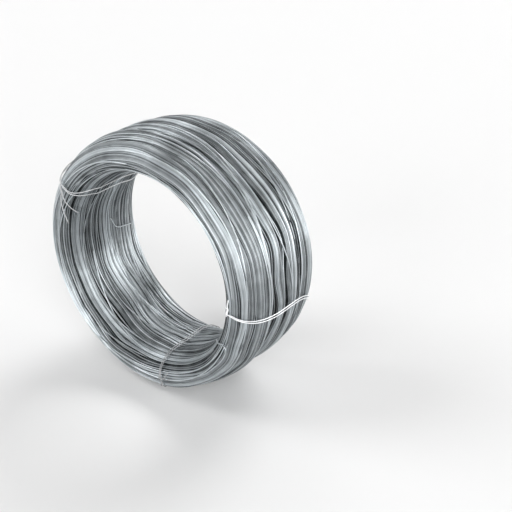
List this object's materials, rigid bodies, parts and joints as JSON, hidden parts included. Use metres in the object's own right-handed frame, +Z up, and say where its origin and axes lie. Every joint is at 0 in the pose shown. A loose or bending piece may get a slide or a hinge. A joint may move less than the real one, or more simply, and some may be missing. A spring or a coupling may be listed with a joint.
{
  "type": "coil of annealed wire",
  "caption": "Ring-shaped coil of soft bright steel wire standing on its rim, wound in loose strands with a deep waist and held together by twisted wire ties.",
  "frame": {"origin": "on the floor under the middle of the coil", "axes": "+Y is the coil's axis, pointing from the near end with the knots to the far end; +Z is up"},
  "size_m": [0.4503, 0.1959, 0.4513],
  "materials": {
    "wire": "drawn soft steel wire with a thin bright zinc skin",
    "tie_wire": "thinner bright zinc-coated wire"
  },
  "bodies": {
    "root": {"wire_coil": "wire", "tie_upper": "tie_wire", "tie_side": "tie_wire", "tie_lower": "tie_wire"}
  },
  "joints": []
}
